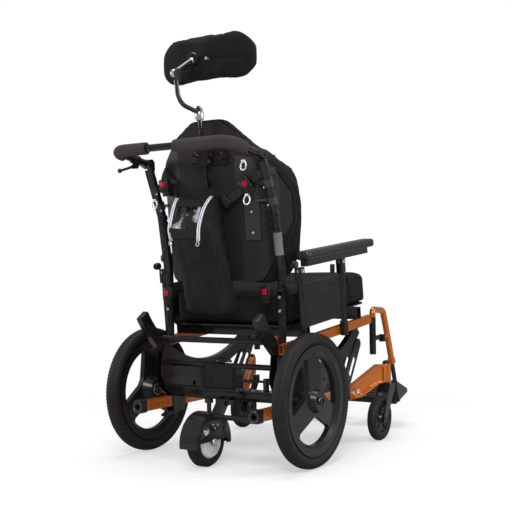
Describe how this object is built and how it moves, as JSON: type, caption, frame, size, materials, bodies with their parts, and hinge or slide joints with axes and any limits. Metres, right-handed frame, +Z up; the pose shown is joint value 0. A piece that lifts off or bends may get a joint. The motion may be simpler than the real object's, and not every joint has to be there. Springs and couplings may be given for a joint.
{
  "type": "tilt in space wheelchair",
  "caption": "Wheelchair whose seat tilts back on curved rockers, with reclining padded back, headrest, backpack, push bar and assist wheel.",
  "frame": {"origin": "floor point under the middle of the chair's overall box", "axes": "+Z up, -Y towards the front of the chair, +X towards the seated person's left"},
  "size_m": [0.69, 1.1762, 1.326],
  "materials": {
    "orange_metal": "metallic gloss",
    "black_metal": "satin",
    "black_plastic": "moulded",
    "tyre_rubber": "matt",
    "foam": "matt foam",
    "black_fabric": "woven",
    "arm_pad_skin": "soft moulded skin",
    "bright_steel": "bright"
  },
  "bodies": {
    "base": {"base_rails": "orange_metal", "rail_end_caps": "black_plastic", "caster_arms": "orange_metal", "side_plates": "black_metal", "axle_crossmember": "black_metal", "tilt_crossbar": "black_metal", "lock_housing": "black_metal", "axle_bolts": "bright_steel"},
    "release": {"release_rod": "bright_steel"},
    "front_rollers": {"front_rollers": "black_plastic"},
    "rear_rollers": {"rear_rollers": "black_plastic"},
    "seat": {"rockers": "black_metal", "seat_rails": "orange_metal", "seat_crossbar": "black_metal", "seat_pan": "black_plastic", "seat_cushion": "black_fabric", "hanger_receivers": "black_metal", "post_sockets": "black_metal"},
    "back": {"back_canes": "black_metal", "back_shell": "black_plastic", "back_cushion": "black_fabric", "backpack": "black_fabric", "shell_brackets": "bright_steel", "headrest_clamp": "black_metal", "harness_buckles": "black_plastic", "control_cables": "black_plastic"},
    "push_bar": {"push_bar": "black_metal", "foam_grips": "foam"},
    "brake_lever": {"brake_lever": "black_plastic"},
    "headrest_rod": {"headrest_rod": "bright_steel"},
    "headrest_arm": {"headrest_arm": "bright_steel"},
    "headrest_link": {"headrest_link": "black_metal"},
    "headrest_pad": {"headrest_pad": "black_fabric"},
    "assist_arm": {"assist_arm": "black_metal"},
    "assist_wheel": {"assist_hub": "bright_steel", "assist_tyre": "tyre_rubber"},
    "drive_wheel_left": {"rear_wheel_left": "black_plastic", "rear_tyre_left": "tyre_rubber"},
    "caster_fork_left": {"caster_fork_left": "black_metal"},
    "caster_wheel_left": {"caster_wheel_left": "black_plastic", "caster_tyre_left": "tyre_rubber"},
    "lock_pedal_left": {"wheel_lock_left": "black_metal"},
    "armrest_left": {"armrest_frame_left": "black_metal", "arm_pad_left": "arm_pad_skin", "side_guard_left": "black_plastic"},
    "hanger_left": {"hanger_left": "orange_metal"},
    "footrest_tube_left": {"footrest_tube_left": "black_metal"},
    "footplate_left": {"footplate_left": "black_plastic"},
    "drive_wheel_right": {"rear_wheel_right": "black_plastic", "rear_tyre_right": "tyre_rubber"},
    "caster_fork_right": {"caster_fork_right": "black_metal"},
    "caster_wheel_right": {"caster_wheel_right": "black_plastic", "caster_tyre_right": "tyre_rubber"},
    "lock_pedal_right": {"wheel_lock_right": "black_metal"},
    "armrest_right": {"armrest_frame_right": "black_metal", "arm_pad_right": "arm_pad_skin", "side_guard_right": "black_plastic"},
    "hanger_right": {"hanger_right": "orange_metal"},
    "footrest_tube_right": {"footrest_tube_right": "black_metal"},
    "footplate_right": {"footplate_right": "black_plastic"}
  },
  "joints": [
    {"name": "tilt", "type": "hinge", "parent": "base", "child": "seat", "pos_m": [0, 0.10307, 0.673], "axis": [-1, 0, 0], "range_deg": [0, 50]},
    {"name": "front_rollers_spin", "type": "hinge", "parent": "base", "child": "front_rollers", "pos_m": [0, -0.17087, 0.33471], "axis": [-1, 0, 0], "range_deg": [-1400, 0]},
    {"name": "rear_rollers_spin", "type": "hinge", "parent": "base", "child": "rear_rollers", "pos_m": [0, 0.06892, 0.23904], "axis": [-1, 0, 0], "range_deg": [-1400, 0]},
    {"name": "recline", "type": "hinge", "parent": "seat", "child": "back", "pos_m": [0, 0.29907, 0.535], "axis": [-1, 0, 0], "range_deg": [-7, 15]},
    {"name": "push_bar_angle", "type": "hinge", "parent": "back", "child": "push_bar", "pos_m": [0, 0.40207, 0.937], "axis": [1, 0, 0], "range_deg": [-40, 20]},
    {"name": "lever_squeeze", "type": "hinge", "parent": "push_bar", "child": "brake_lever", "pos_m": [0.21, 0.47307, 0.925], "axis": [1, 0, 0], "range_deg": [0, 15], "stiffness_Nm_per_rad": 0.5, "springref_deg": -11.46},
    {"name": "release_pull", "type": "slide", "parent": "base", "child": "release", "axis": [-1, 0, 0], "range_m": [0, 0.006]},
    {"name": "headrest_height", "type": "slide", "parent": "back", "child": "headrest_rod", "axis": [0, 0.1576, 0.9875], "range_m": [0, 0.04]},
    {"name": "headrest_swing", "type": "hinge", "parent": "headrest_rod", "child": "headrest_arm", "pos_m": [0, 0.41607, 1.064], "axis": [0, 0.1576, 0.9875], "range_deg": [-45, 45]},
    {"name": "headrest_link_angle", "type": "hinge", "parent": "headrest_arm", "child": "headrest_link", "pos_m": [0, 0.53107, 1.184], "axis": [1, 0, 0], "range_deg": [-25, 25]},
    {"name": "headrest_tilt", "type": "hinge", "parent": "headrest_link", "child": "headrest_pad", "pos_m": [0, 0.43307, 1.243], "axis": [1, 0, 0], "range_deg": [-15, 20]},
    {"name": "assist_lift", "type": "hinge", "parent": "base", "child": "assist_arm", "pos_m": [-0.012, 0.32907, 0.184], "axis": [1, 0, 0], "range_deg": [0, 20]},
    {"name": "assist_spin", "type": "hinge", "parent": "assist_arm", "child": "assist_wheel", "pos_m": [-0.012, 0.42307, 0.076], "axis": [1, 0, 0], "continuous": true},
    {"name": "drive_spin_left", "type": "hinge", "parent": "base", "child": "drive_wheel_left", "pos_m": [0.311, 0.29107, 0.203], "axis": [1, 0, 0], "continuous": true},
    {"name": "caster_swivel_left", "type": "hinge", "parent": "base", "child": "caster_fork_left", "pos_m": [0.282, -0.28393, 0.195], "axis": [0, 0, 1], "continuous": true},
    {"name": "caster_spin_left", "type": "hinge", "parent": "caster_fork_left", "child": "caster_wheel_left", "pos_m": [0.282, -0.22493, 0.0755], "axis": [1, 0, 0], "continuous": true},
    {"name": "lock_pedal_left", "type": "hinge", "parent": "base", "child": "lock_pedal_left", "pos_m": [0.218, 0.27107, 0.142], "axis": [1, 0, 0], "range_deg": [-18, 8]},
    {"name": "armrest_lift_left", "type": "slide", "parent": "seat", "child": "armrest_left", "axis": [0, 0.1028, 0.9947], "range_m": [0, 0.04]},
    {"name": "hanger_swing_left", "type": "hinge", "parent": "seat", "child": "hanger_left", "pos_m": [0.242, -0.2619, 0.42005], "axis": [0, 0, 1], "range_deg": [0, 90]},
    {"name": "footrest_length_left", "type": "slide", "parent": "hanger_left", "child": "footrest_tube_left", "axis": [0, -0.319, -0.9478], "range_m": [0, 0.03]},
    {"name": "footplate_flip_left", "type": "hinge", "parent": "footrest_tube_left", "child": "footplate_left", "pos_m": [0.212, -0.47575, 0.10383], "axis": [0, 0.9478, -0.319], "range_deg": [0, 90]},
    {"name": "drive_spin_right", "type": "hinge", "parent": "base", "child": "drive_wheel_right", "pos_m": [-0.311, 0.29107, 0.203], "axis": [1, 0, 0], "continuous": true},
    {"name": "caster_swivel_right", "type": "hinge", "parent": "base", "child": "caster_fork_right", "pos_m": [-0.282, -0.28393, 0.195], "axis": [0, 0, 1], "continuous": true},
    {"name": "caster_spin_right", "type": "hinge", "parent": "caster_fork_right", "child": "caster_wheel_right", "pos_m": [-0.282, -0.22493, 0.0755], "axis": [1, 0, 0], "continuous": true},
    {"name": "lock_pedal_right", "type": "hinge", "parent": "base", "child": "lock_pedal_right", "pos_m": [-0.218, 0.27107, 0.142], "axis": [1, 0, 0], "range_deg": [-18, 8]},
    {"name": "armrest_lift_right", "type": "slide", "parent": "seat", "child": "armrest_right", "axis": [0, 0.1028, 0.9947], "range_m": [0, 0.04]},
    {"name": "hanger_swing_right", "type": "hinge", "parent": "seat", "child": "hanger_right", "pos_m": [-0.242, -0.2619, 0.42005], "axis": [0, 0, -1], "range_deg": [0, 90]},
    {"name": "footrest_length_right", "type": "slide", "parent": "hanger_right", "child": "footrest_tube_right", "axis": [0, -0.319, -0.9478], "range_m": [0, 0.03]},
    {"name": "footplate_flip_right", "type": "hinge", "parent": "footrest_tube_right", "child": "footplate_right", "pos_m": [-0.212, -0.47575, 0.10383], "axis": [0, -0.9478, 0.319], "range_deg": [0, 90]}
  ],
  "couplings": [
    {"joint": "front_rollers_spin", "follows": "tilt", "ratio": -28},
    {"joint": "rear_rollers_spin", "follows": "tilt", "ratio": -28},
    {"joint": "release_pull", "follows": "lever_squeeze", "m_per_rad": 0.0225}
  ]
}
